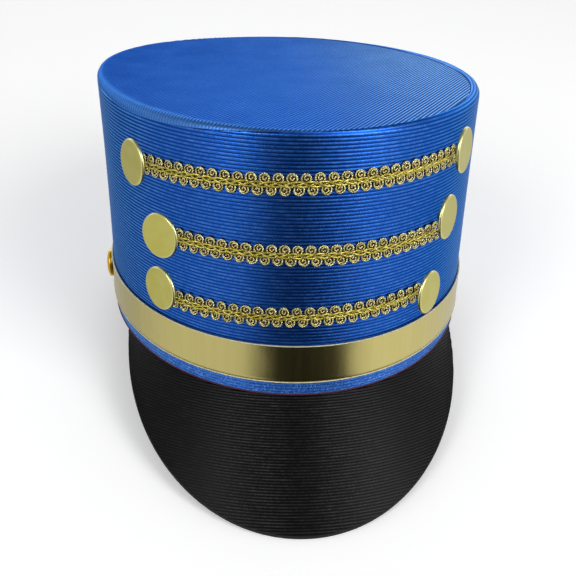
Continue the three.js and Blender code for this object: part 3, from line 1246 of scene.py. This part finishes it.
@dataclass
class Peak:
    """The steep peak: ribbed cloth above, plain cloth below, with a rounded edge."""

    form: PeakForm
    rest: Resting
    pitch: float = 1.15
    depth: float = 0.27
    unevenness: float = 0.4
    tilt: float = 80.0
    width: float = 150.0
    rows: int = 190
    under_rows: int = 24
    columns: int = 170
    crowding: float = 0.35

    def rib_run(self, points: np.ndarray) -> np.ndarray:
        """How far across the ribs each point of the slope lies, as ribs in one plane run."""
        wedge, slope = math.radians(self.tilt), math.radians(self.form.slope)
        run = -(points[..., 1] * math.cos(wedge) + points[..., 2] * math.sin(wedge))
        return run / (math.cos(wedge) * math.cos(slope) + math.sin(wedge) * math.sin(slope))

    def build(self, tree: GeometryTree, cloth: Any, back: Any) -> Any:
        """Makes the peak.

        Args:
            tree: the tree that raises its ribs.
            cloth: its upper material.
            back: its lower material.

        Returns:
            The object.
        """
        form, skin = self.form, Skin(self.rest)
        place = np.sin(np.linspace(-math.pi / 2, math.pi / 2, self.columns + 1))
        level = np.linspace(-1, 1, self.columns + 1)
        place = self.crowding * place + (1 - self.crowding) * level
        reach, edge = form.reach(place), form.thickness / 2
        share = np.linspace(0.0, 1.0, self.rows + 1)[:, None]
        upper = form.at(place, (reach - edge) * share)
        bends = np.linspace(math.pi / 2, -math.pi / 2, 9)[1:-1, None]
        round_edge = form.at(place, reach - edge + edge * np.cos(bends),
                             edge * np.sin(bends) - edge)
        shares = np.linspace(1.0, 0.0, self.under_rows)[:, None]
        low = form.at(place, (reach - edge) * shares, -form.thickness)
        lip = form.at(place, 0.0, 0.0, form.hat.wall)[None, :]
        heel, foot = lip.copy(), form.at(place, 0.0)[None, :]
        heel[..., 2] -= form.thickness
        foot[..., 2] -= form.thickness
        low = np.where(low[..., 2:] < foot[..., 2:], low, np.minimum(low, foot))

        across = self.rib_run(upper)
        raised = np.ones(upper.shape[:-1])
        raised[0], raised[:, 0], raised[:, -1] = 0.0, 0.0, 0.0
        top = skin.add(upper, across, raised)
        rest = skin.add(np.concatenate([round_edge, low[:-1], heel, lip]))
        numbers = np.concatenate([top, rest, top[:1]])
        along = np.linspace(0.0, self.width, self.columns + 1)
        skin.quads(numbers[:self.rows + 1], cloth_places(along, across), turn=True)
        other = np.concatenate([upper[-1:], round_edge, low[:-1], heel, lip, upper[:1]])
        lengths = distances(other[:, self.columns // 2])
        skin.quads(numbers[self.rows:], cloth_places(along, lengths), finish=1, turn=True)
        for column, turn in ((0, False), (-1, True)):
            ring = numbers[:, column]
            whole = np.concatenate([upper, other[1:-1]])
            centre = skin.add(whole[:, column].mean(0))
            flat = np.stack([np.zeros(len(ring)), np.linspace(0, 4, len(ring))], -1)
            skin.fan(ring, centre, flat, turn=turn, finish=1)
        made = skin.build("peak_cloth", [cloth, back])
        return ribbed(made, tree, self.pitch, self.depth, self.unevenness)


@dataclass(frozen=True)
class ButtonSpot:
    """Where a flat button stands: its side, angle in degrees, share of the wall and turn."""

    side: Side
    angle: float
    height: float
    turn: float


@dataclass(frozen=True)
class RowForm:
    """A row of braid: its heights as shares of the wall, and its two buttons."""

    name: str
    left: float
    middle: float
    right: float
    buttons: tuple[ButtonSpot, ButtonSpot]


ROWS = (
    RowForm("top", 0.75, 0.774, 0.799, (ButtonSpot(Side.LEFT, -45.6, 0.749, 4.3),
                                         ButtonSpot(Side.RIGHT, 44.9, 0.818, 6.6))),
    RowForm("middle", 0.445, 0.449, 0.45, (ButtonSpot(Side.LEFT, -37.2, 0.445, -4.5),
                                           ButtonSpot(Side.RIGHT, 39.5, 0.521, 9.0))),
    RowForm("bottom", 0.126, 0.146, 0.159, (ButtonSpot(Side.LEFT, -37.9, 0.171, 3.4),
                                            ButtonSpot(Side.RIGHT, 34.7, 0.162, 9.3))),
)


@dataclass
class Braid:
    """A row of gimp braid: curled loops above and below a plait of smooth strands."""

    hat: HatForm
    rest: Resting
    pitch: float = 4.78
    loop_radius: float = 1.82
    loop_rise: float = 2.12
    cord: float = 0.42
    twist: float = 1.15
    plait_reach: float = 0.9
    plait_period: float = 14.34
    strand: float = 0.4
    shank: float = 4.0
    tree: GeometryTree | None = None

    def path(self, row: RowForm) -> Any:
        """The middle line of a row, as a line of points that hold their directions.

        Args:
            row: the row's form.

        Returns:
            The object.
        """
        ends = []
        for spot in row.buttons:
            height = self.hat.on_wall(spot.height)
            arm = np.linalg.norm(self.hat.face(math.radians(spot.angle), height)[:2])
            stop = (self.shank / 2 + 2 * self.hat.clearance) / arm
            ends.append(math.radians(spot.angle) - math.copysign(stop, spot.angle))
        place = np.linspace(-1.0, 1.0, 161)
        angle = ends[0] + (ends[1] - ends[0]) * (place + 1) / 2
        rise, bow = (row.right - row.left) / 2, (row.right + row.left) / 2 - row.middle
        height = self.hat.on_wall(row.middle + rise * place + bow * place * place)
        points = self.hat.face(angle, height)
        along = np.gradient(points, axis=0)
        along /= np.linalg.norm(along, axis=1, keepdims=True)
        outward = np.stack([self.hat.axes(a, h)[2] for a, h in zip(angle, height)])
        upward = np.cross(outward, along)
        upward /= np.linalg.norm(upward, axis=1, keepdims=True)
        mesh = bpy.data.meshes.new(f"braid_line_{row.name}")
        edges = [(k, k + 1) for k in range(len(points) - 1)]
        mesh.from_pydata(self.rest.place(points).tolist(), edges, [])
        for title, values in (("along", along), ("upward", upward), ("outward", outward)):
            set_attribute(mesh, title, self.rest.turned(values))
        return add_object(f"gimp_braid_{row.name}", mesh)

    def _loops(self, g: GeometryTree, line: Wire, placing: Placing) -> Wire:
        """The curled loops on one side of the middle line.

        Args:
            g: the tree.
            line: the middle line as a curve.
            placing: the side.

        Returns:
            The loops' instances.
        """
        sign = placing.value
        points = g.add("GeometryNodeResampleCurve", {"mode": "LENGTH"},
                       {"Curve": line, "Length": g.given("Pitch")})
        upward, outward = g.held("upward", "FLOAT_VECTOR"), g.held("outward", "FLOAT_VECTOR")
        along = g.held("along", "FLOAT_VECTOR")
        shift = g.turned("ADD", g.scaled(upward, g.given("Loop Rise") * sign),
                         g.scaled(outward, g.given("Cord") * 1.35))
        if placing is Placing.BELOW:
            shift = g.turned("ADD", shift, g.scaled(along, g.given("Pitch") * 0.5))
        facing = g.add("FunctionNodeAxesToRotation", {"primary_axis": "Z", "secondary_axis": "X"},
                       {"Primary Axis": outward, "Secondary Axis": g.scaled(along, sign)})
        wobble = g.add("FunctionNodeRandomValue", {"data_type": "FLOAT_VECTOR"}, {
            "Min": (-0.1, -0.1, -0.22), "Max": (0.1, 0.1, 0.22),
            "Seed": g.given("Seed") + 5.0 * sign})
        turned = g.add("FunctionNodeEulerToRotation", None, {0: wobble})
        facing = g.add("FunctionNodeRotateRotation", {"rotation_space": "LOCAL"},
                       {"Rotation": facing, "Rotate By": turned})
        size = g.add("FunctionNodeRandomValue", {"data_type": "FLOAT_VECTOR"}, {
            "Min": (0.93, 0.93, 0.95), "Max": (1.06, 1.06, 1.05), "Seed": g.given("Seed") + 9.0})
        return g.add("GeometryNodeInstanceOnPoints", None, {
            "Points": g.placed(points, shift), "Instance": self._curl(g), "Rotation": facing,
            "Scale": size})

    def _curl(self, g: GeometryTree) -> Wire:
        """One loop: a twisted cord that curls in on itself, over a small dark core."""
        spiral = g.add("GeometryNodeCurveSpiral", None, {
            "Resolution": 26, "Rotations": 2.1, "Start Radius": g.given("Loop Radius"),
            "End Radius": g.given("Loop Radius"), "Height": g.given("Cord") * 0.6})
        wide = g.add("GeometryNodeSplineParameter").step(0.22, 0.58) * 0.66 + 0.34
        spiral = g.add("GeometryNodeSetPosition", None, {
            "Geometry": spiral,
            "Position": g.turned("MULTIPLY", g.add("GeometryNodeInputPosition"),
                                 g.vector(wide, wide, 1.0))})
        spiral = g.add("GeometryNodeTransform", None, {
            "Geometry": spiral, "Rotation": (0.0, 0.0, math.radians(20.0))})
        place = g.add("GeometryNodeSplineParameter", None, None, "Length")
        tilted = g.add("GeometryNodeSetCurveTilt", None, {
            "Curve": spiral, "Tilt": place * (g.given("Twist") * math.pi / MM)})
        tilted = g.add("GeometryNodeSetCurveRadius", None, {
            "Curve": tilted, "Radius": wide * 0.7 + 0.3})
        cord = self._tube(g, tilted, 7, "Cord", (1.0, 0.62, 1.0), "Gimp")
        core = g.add("GeometryNodeMeshCylinder", None, {
            "Vertices": 12, "Radius": g.given("Loop Radius") * 0.86,
            "Depth": g.given("Cord") * 0.8}, "Mesh")
        core = g.add("GeometryNodeTransform", None, {
            "Geometry": core, "Translation": g.vector(0.0, 0.0, g.given("Cord") * -0.75)})
        return g.joined([cord, g.painted(core, "Core")])

    @staticmethod
    def _tube(g: GeometryTree, curve: Wire, sides: int, radius: str,
              squash: tuple[float, float, float], material: str) -> Wire:
        """Makes a curve into a closed tube.

        Args:
            g: the tree.
            curve: the curve.
            sides: how many sides the tube has.
            radius: the tree's input that gives its radius.
            squash: what its section is scaled by.
            material: the tree's input that gives its material.

        Returns:
            The tube.
        """
        ring = g.add("GeometryNodeCurvePrimitiveCircle", {"mode": "RADIUS"},
                     {"Resolution": sides, "Radius": g.given(radius)})
        ring = g.add("GeometryNodeTransform", None, {"Geometry": ring, "Scale": squash})
        tube = g.add("GeometryNodeCurveToMesh", None, {
            "Curve": curve, "Profile Curve": ring, "Fill Caps": True})
        return g.painted(tube, material)

    @staticmethod
    def _faced(g: GeometryTree, line: Wire, spacing: float, shift: Wire) -> Wire:
        """Moves a finer copy of the middle line, and turns it to face outward.

        Args:
            g: the tree.
            line: the middle line as a curve.
            spacing: the distance between its points, in millimetres.
            shift: the move.

        Returns:
            The curve.
        """
        fine = g.add("GeometryNodeResampleCurve", {"mode": "LENGTH"},
                     {"Curve": line, "Length": spacing * MM})
        return g.add("GeometryNodeSetCurveNormal", {"mode": "FREE"}, {
            "Curve": g.placed(fine, shift), "Normal": g.held("outward", "FLOAT_VECTOR")})

    def _plait(self, g: GeometryTree, line: Wire, strand: int) -> Wire:
        """One of the three strands that cross over the middle.

        Args:
            g: the tree.
            line: the middle line as a curve.
            strand: its number.

        Returns:
            The strand's mesh.
        """
        length = g.add("GeometryNodeSplineParameter", None, None, "Length")
        turn = length * (2 * math.pi) / g.given("Plait Period") + strand * 2 * math.pi / 3
        upward, outward = g.held("upward", "FLOAT_VECTOR"), g.held("outward", "FLOAT_VECTOR")
        side = turn.sine() * g.given("Plait Reach")
        lift = ((turn * 2.0).sine() * 0.7 + 2.5) * g.given("Cord")
        shift = g.turned("ADD", g.scaled(upward, side), g.scaled(outward, lift))
        curve = self._faced(g, line, 0.55, shift)
        return self._tube(g, curve, 10, "Strand", (0.8, 1.0, 1.0), "Plait")

    def _painted_shade_strip(self, g: GeometryTree, line: Wire) -> Wire:
        """A narrow dark strip under the loops and the plait: painted shade between them."""
        shift = g.scaled(g.held("outward", "FLOAT_VECTOR"), g.given("Cord") * 0.7)
        curve = self._faced(g, line, 1.6, shift)
        return self._tube(g, curve, 12, "Loop Radius", (0.16, 1.0, 1.0), "Core")

    def sizes(self) -> dict[str, float]:
        """The tree's sizes in metres, and its twist."""
        lengths = {"Pitch": self.pitch, "Loop Radius": self.loop_radius,
                   "Loop Rise": self.loop_rise, "Cord": self.cord,
                   "Plait Reach": self.plait_reach, "Plait Period": self.plait_period,
                   "Strand": self.strand}
        return {name: length * MM for name, length in lengths.items()} | {"Twist": self.twist}

    def prepare(self) -> None:
        """Builds the tree that all rows share."""
        inputs = {name: ("NodeSocketFloat", value) for name, value in self.sizes().items()}
        inputs["Seed"] = ("NodeSocketInt", 1)
        for name in ("Gimp", "Plait", "Core"):
            inputs[name] = ("NodeSocketMaterial", None)
        g = GeometryTree("gimp_braid", inputs)
        line = g.add("GeometryNodeMeshToCurve", None, {"Mesh": g.given("Geometry")})
        parts = [self._loops(g, line, placing) for placing in Placing]
        parts += [self._plait(g, line, strand) for strand in range(3)]
        # a dark strip of painted shade behind the loops and the plait
        parts.append(self._painted_shade_strip(g, line))
        smooth = g.add("GeometryNodeSetShadeSmooth", None, {
            "Geometry": g.joined(parts), "Shade Smooth": True})
        g.close(smooth)
        self.tree = g

    def build(self, row: RowForm, gimp: Any, plait: Any, core: Any, seed: int) -> Any:
        """Makes a row.

        Args:
            row: the row's form.
            gimp: the material of the loops.
            plait: the material of the plait.
            core: the material inside the loops, and of the dark strip of painted shade under them.
            seed: sets how the loops vary.

        Returns:
            The object.
        """
        given = {"Seed": seed, "Gimp": gimp, "Plait": plait, "Core": core}
        return self.tree.apply(self.path(row), self.sizes() | given)


@dataclass
class Buttons:
    """The flat buttons at the ends of the braid and the domed ones at the sides."""

    hat: HatForm
    rest: Resting
    diameter: float = 18.4
    rim: float = 1.7
    shank: float = 4.0
    braid: float = 1.5
    side_diameter: float = 14.0
    side_dome: float = 2.9
    side_angle: float = 85.0
    steps: int = 96

    def _turned(self, name: str, profile: list[tuple[float, float]], axes: Any, middle: Any,
                material: Any) -> Any:
        """Makes a turned shape.

        Args:
            name: the object's name.
            profile: radius and height from the pole below to the pole above.
            axes: the directions to the right, up and out.
            middle: the foot of its axis.
            material: its metal.

        Returns:
            The object.
        """
        skin = Skin(self.rest)
        angle = round_angles(self.steps)
        right, up, out = axes
        rings = np.array(profile[1:-1])
        points = (middle + rings[:, :1, None] * (np.cos(angle)[None, :, None] * right
                                                 + np.sin(angle)[None, :, None] * up)
                  + rings[:, 1:, None] * out)
        numbers = closed(skin.add(points))
        around = np.linspace(0, 2 * math.pi, self.steps + 1)
        place = np.stack([rings[:, :1] * np.cos(around), rings[:, :1] * np.sin(around)], -1)
        skin.quads(numbers, place)
        for row, (_, height), turn in ((0, profile[0], True), (-1, profile[-1], False)):
            skin.fan(numbers[row], skin.add(middle + height * out), place[row], turn=turn)
        return skin.build(name, [material], 50)

    def flat(self, row: RowForm, spot: ButtonSpot, material: Any) -> Any:
        """Makes a flat button: a shank, and a disc with a rounded rim and a barely domed face.

        Args:
            row: the braid that it holds.
            spot: where it stands.
            material: its metal.

        Returns:
            The object.
        """
        angle, height = math.radians(spot.angle), float(self.hat.on_wall(spot.height))
        turn = math.radians(spot.turn) * (1 if spot.angle > 0 else -1)
        right, up, out = self.hat.axes(angle, height)
        foot = self.hat.face(angle, height)
        lean = math.sin(abs(turn))
        stand = self.hat.clearance + self.shank / 2 * lean
        back = 2 * self.hat.clearance + self.braid + self.diameter / 2 * lean - stand
        cos, sin = math.cos(turn), math.sin(turn)
        axes = (right * cos - out * sin, up, out * cos + right * sin)
        radius, edge = self.diameter / 2, self.rim / 2
        shank = self.shank / 2
        profile = [(0.0, 0.0), (shank - 0.3, 0.0), (shank, 0.3), (shank, back - 0.3),
                   (shank + 0.3, back), (shank + 1.5, back + 0.05), (radius - 1.6, back + 0.05)]
        profile += [(radius - edge + edge * math.cos(b), back + edge + edge * math.sin(b))
                    for b in np.linspace(-math.pi / 2, math.radians(62), 12)]
        start_height = profile[-1][1]
        crown = back + self.rim
        for share in (0.97, 0.94, 0.9, 0.84, 0.74, 0.6, 0.44, 0.26, 0.1):
            reach = (radius - edge) * share
            fall = (crown - start_height) * (share ** 6)
            profile.append((reach, crown - fall * 0.6))
        profile.append((0.0, crown))
        name = f"flat_button_{spot.side.value}_{row.name}"
        made = self._turned(name, profile, axes, foot + out * stand, material)
        made.visible_glossy = False
        return made

    def domed(self, side: Side, share: float, material: Any) -> Any:
        """Makes a domed side button.

        Args:
            side: the side of the hat.
            share: its height as a share of the ribbon's width.
            material: its metal.

        Returns:
            The object.
        """
        direction = -1.0 if side is Side.LEFT else 1.0
        angle = math.radians(self.side_angle) * direction
        height = self.hat.band_raise + self.hat.band_width * share
        axes = self.hat.axes(angle, height)
        stand = self.hat.band_thickness + 2 * self.hat.clearance
        middle = self.hat.face(angle, height) + axes[2] * stand
        radius, dome = self.side_diameter / 2, self.side_dome
        skirt = dome / 3
        profile = [(0.0, 0.0), (radius - 0.6, 0.0), (radius - 0.15, 0.12), (radius, 0.45),
                   (radius - 0.06, skirt)]
        profile += [(radius * math.cos(b), skirt + (dome - skirt) * math.sin(b))
                    for b in np.linspace(0.12, math.pi / 2, 14)[:-1]]
        profile.append((0.0, dome))
        return self._turned(f"domed_button_{side.value}", profile, axes, middle, material)


@dataclass
class Studio:
    """The camera, the lights and the pale floor."""

    rest: Resting
    position: tuple[float, float, float] = (-24.67, -325.79, 170.27)
    forward: tuple[float, float, float] = (0.07198, 0.87446, -0.47973)
    upward: tuple[float, float, float] = (0.00892, 0.48039, 0.87701)
    focal_pixels: float = 676.61
    frame_pixels: float = 576.0
    sensor: float = 36.0
    aim_height: float = 0.07
    floor_reach: float = 6.0

    def camera(self) -> Any:
        """Makes the camera at the photograph's angle."""
        data = bpy.data.cameras.new("camera")
        data.sensor_width = self.sensor
        data.lens = self.sensor * self.focal_pixels / self.frame_pixels
        data.clip_start = 0.01
        data.clip_end = 50.0
        look = Vector(self.rest.turned(np.array(self.forward))).normalized()
        right = look.cross(Vector(self.rest.turned(np.array(self.upward)))).normalized()
        up = right.cross(look)
        made = add_object("camera", data)
        basis = Matrix((right, up, -look)).transposed().to_4x4()
        basis.translation = Vector(self.rest.place(np.array(self.position)))
        made.matrix_world = basis
        bpy.context.scene.camera = made
        return made

    def light(self, name: str, azimuth: float, elevation: float, distance: float,
              size: tuple[float, float], power: float) -> Any:
        """Makes a soft area light that faces the hat.

        Args:
            name: its name.
            azimuth: in degrees from the front towards +X.
            elevation: in degrees.
            distance: in metres.
            size: its width and height in metres.
            power: in watts.

        Returns:
            The light.
        """
        data = bpy.data.lights.new(name, "AREA")
        data.shape = "RECTANGLE"
        data.size, data.size_y = size
        data.energy = power
        made = add_object(name, data)
        a, e = math.radians(azimuth), math.radians(elevation)
        aim = Vector((0.0, 0.0, self.aim_height))
        place = aim + distance * Vector((math.sin(a) * math.cos(e), -math.cos(a) * math.cos(e),
                                         math.sin(e)))
        made.location = place
        made.rotation_euler = (aim - place).to_track_quat("-Z", "Y").to_euler()
        made.visible_camera = False
        return made

    def floor(self) -> Any:
        """Makes the plain pale floor, which metal doesn't mirror."""
        mesh = bpy.data.meshes.new("floor")
        far = self.floor_reach
        corners = [(-far, -far, 0), (far, -far, 0), (far, far, 0), (-far, far, 0)]
        mesh.from_pydata(corners, [], [(0, 1, 2, 3)])
        s = Shade("pale_floor")
        cloud = s.cloud(s.here(), 0.004, 2.0)
        tone = s.blend(cloud * 0.3, (0.96, 0.96, 0.96), (0.94, 0.94, 0.945))
        mesh.materials.append(s.finish(Base_Color=tone, Roughness=0.9, Emission_Strength=0.17,
                                       Emission_Color=(1.0, 1.0, 1.0)))
        made = add_object("floor", mesh)
        made.visible_glossy = False
        return made

    def world(self) -> Any:
        """Makes the soft surround, darker towards the front, where the viewer would stand."""
        world = bpy.data.worlds.new("studio")
        world.use_nodes = True
        g = Graph(world.node_tree)
        place = g.add("ShaderNodeTexCoord", None, None, "Generated")
        x, y, z = g.parts(place)
        side = g.add("ShaderNodeMath", {"operation": "ARCTAN2"}, {0: x, 1: y * -1.0})
        middle = math.radians(10.0) - z.step(-0.42, -0.24) * math.radians(5.0)
        low = abs(side - middle).turn_step(23.0, 39.0)
        low = low * (1.0 - (side * -1.0).turn_step(75.0, 130.0) * 0.35)
        low = low * (1.0 - side.turn_step(60.0, 170.0) * 0.35)
        high = abs(side - math.radians(-8.0)).turn_step(13.0, 33.0)
        high = high.most(z.step(0.36, 0.56))
        right = side.turn_step(20.0, 60.0)
        back = abs(side).turn_step(80.0, 150.0)
        patch = side.turn_step(12.0, 30.0) * (1.0 - side.turn_step(48.0, 66.0))
        level = z.step(-0.05, 0.15)
        glow = ((1.0 - level) * (low * (0.75 + right * 0.17) + 0.01)
                + level * (high * (0.56 + patch * 0.9) + 0.01))
        glow = glow + level * back * (1.0 - z.step(0.28, 0.5)) * 1.1
        glow = glow * (1.0 - z.step(0.45, 0.95) * 0.7)
        seen = g.add("ShaderNodeLightPath", None, None, "Is Camera Ray")
        glow = seen * 0.92 + (1.0 - seen) * glow
        shade = g.node("ShaderNodeBackground", None, {"Color": (1.0, 1.0, 1.0, 1.0),
                                                      "Strength": glow})
        g.node("ShaderNodeOutputWorld", None, {"Surface": Wire(g, shade.outputs[0])})
        bpy.context.scene.world = world
        return world

    def build(self) -> None:
        """Sets everything up."""
        self.camera()
        self.world()
        self.floor()
        self.light("left_softbox", -44.0, 38.0, 1.5, (0.5, 0.9), 7.0)
        self.light("right_softbox", 50.0, 38.0, 1.5, (0.6, 0.9), 9.0)
        self.light("back_softbox", 184.0, 27.0, 1.8, (1.6, 0.6), 4.0)
        bpy.context.scene.view_settings.view_transform = "Standard"


def hand_over(made: Any, slot: str, *nodes: str) -> None:
    """Ties a piece to the frame and reports it.

    Args:
        made: the piece.
        slot: the material slot that it takes its finish from; not used.
        nodes: the nodes that it stands for.
    """
    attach(made, "root")
    if nodes:
        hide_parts(*nodes)
    LOG.info("%s: %d faces", made.name, len(made.data.polygons))


def main() -> None:
    """Builds the hat's pieces in order, then the studio."""
    logging.basicConfig(level=logging.INFO, format="%(name)s %(message)s")
    hat = HatForm()
    peak_form = PeakForm(hat)
    rest = Resting.of(hat, peak_form)
    Studio(rest).build()

    paint = {finish.name: finish.build() for finish in FINISHES}
    ribs = ribbing()
    crown = Crown(hat, rest)
    made = crown.side(ribs, paint["crown_satin"], paint["cloth_back"])
    hand_over(made, "crown_cloth", "crown_wall")
    made = crown.top(ribs, paint["lid_satin"], paint["cloth_back"])
    hand_over(made, "top_cloth", "crown_top")
    hand_over(crown.foot_thread(paint["foot_thread_red"]), "crown_cloth")
    made = Band(hat, rest).build(paint["gold_foil"], paint["ribbon_edge"])
    hand_over(made, "gold_ribbon", "gold_band")
    made = Peak(peak_form, rest).build(ribs, paint["peak_satin"], paint["peak_lining"])
    hand_over(made, "peak_cloth", "peak")

    threads = [paint[name] for name in ("gimp_gold", "plait_gold", "braid_core")]
    braid = Braid(hat, rest)
    braid.prepare()
    buttons = Buttons(hat, rest)
    for seed, row in enumerate(ROWS):
        made = braid.build(row, *threads, seed + 1)
        hand_over(made, "gold_braid", f"braid_{row.name}")
        for spot in row.buttons:
            made = buttons.flat(row, spot, paint["button_brass"])
            hand_over(made, "button_metal", f"button_{spot.side.value}_{row.name}")
    for side, share in ((Side.LEFT, 0.36), (Side.RIGHT, 0.2)):
        made = buttons.domed(side, share, paint["side_button_brass"])
        hand_over(made, "button_metal", f"side_button_{side.value}")


if __name__ == "__main__":
    main()
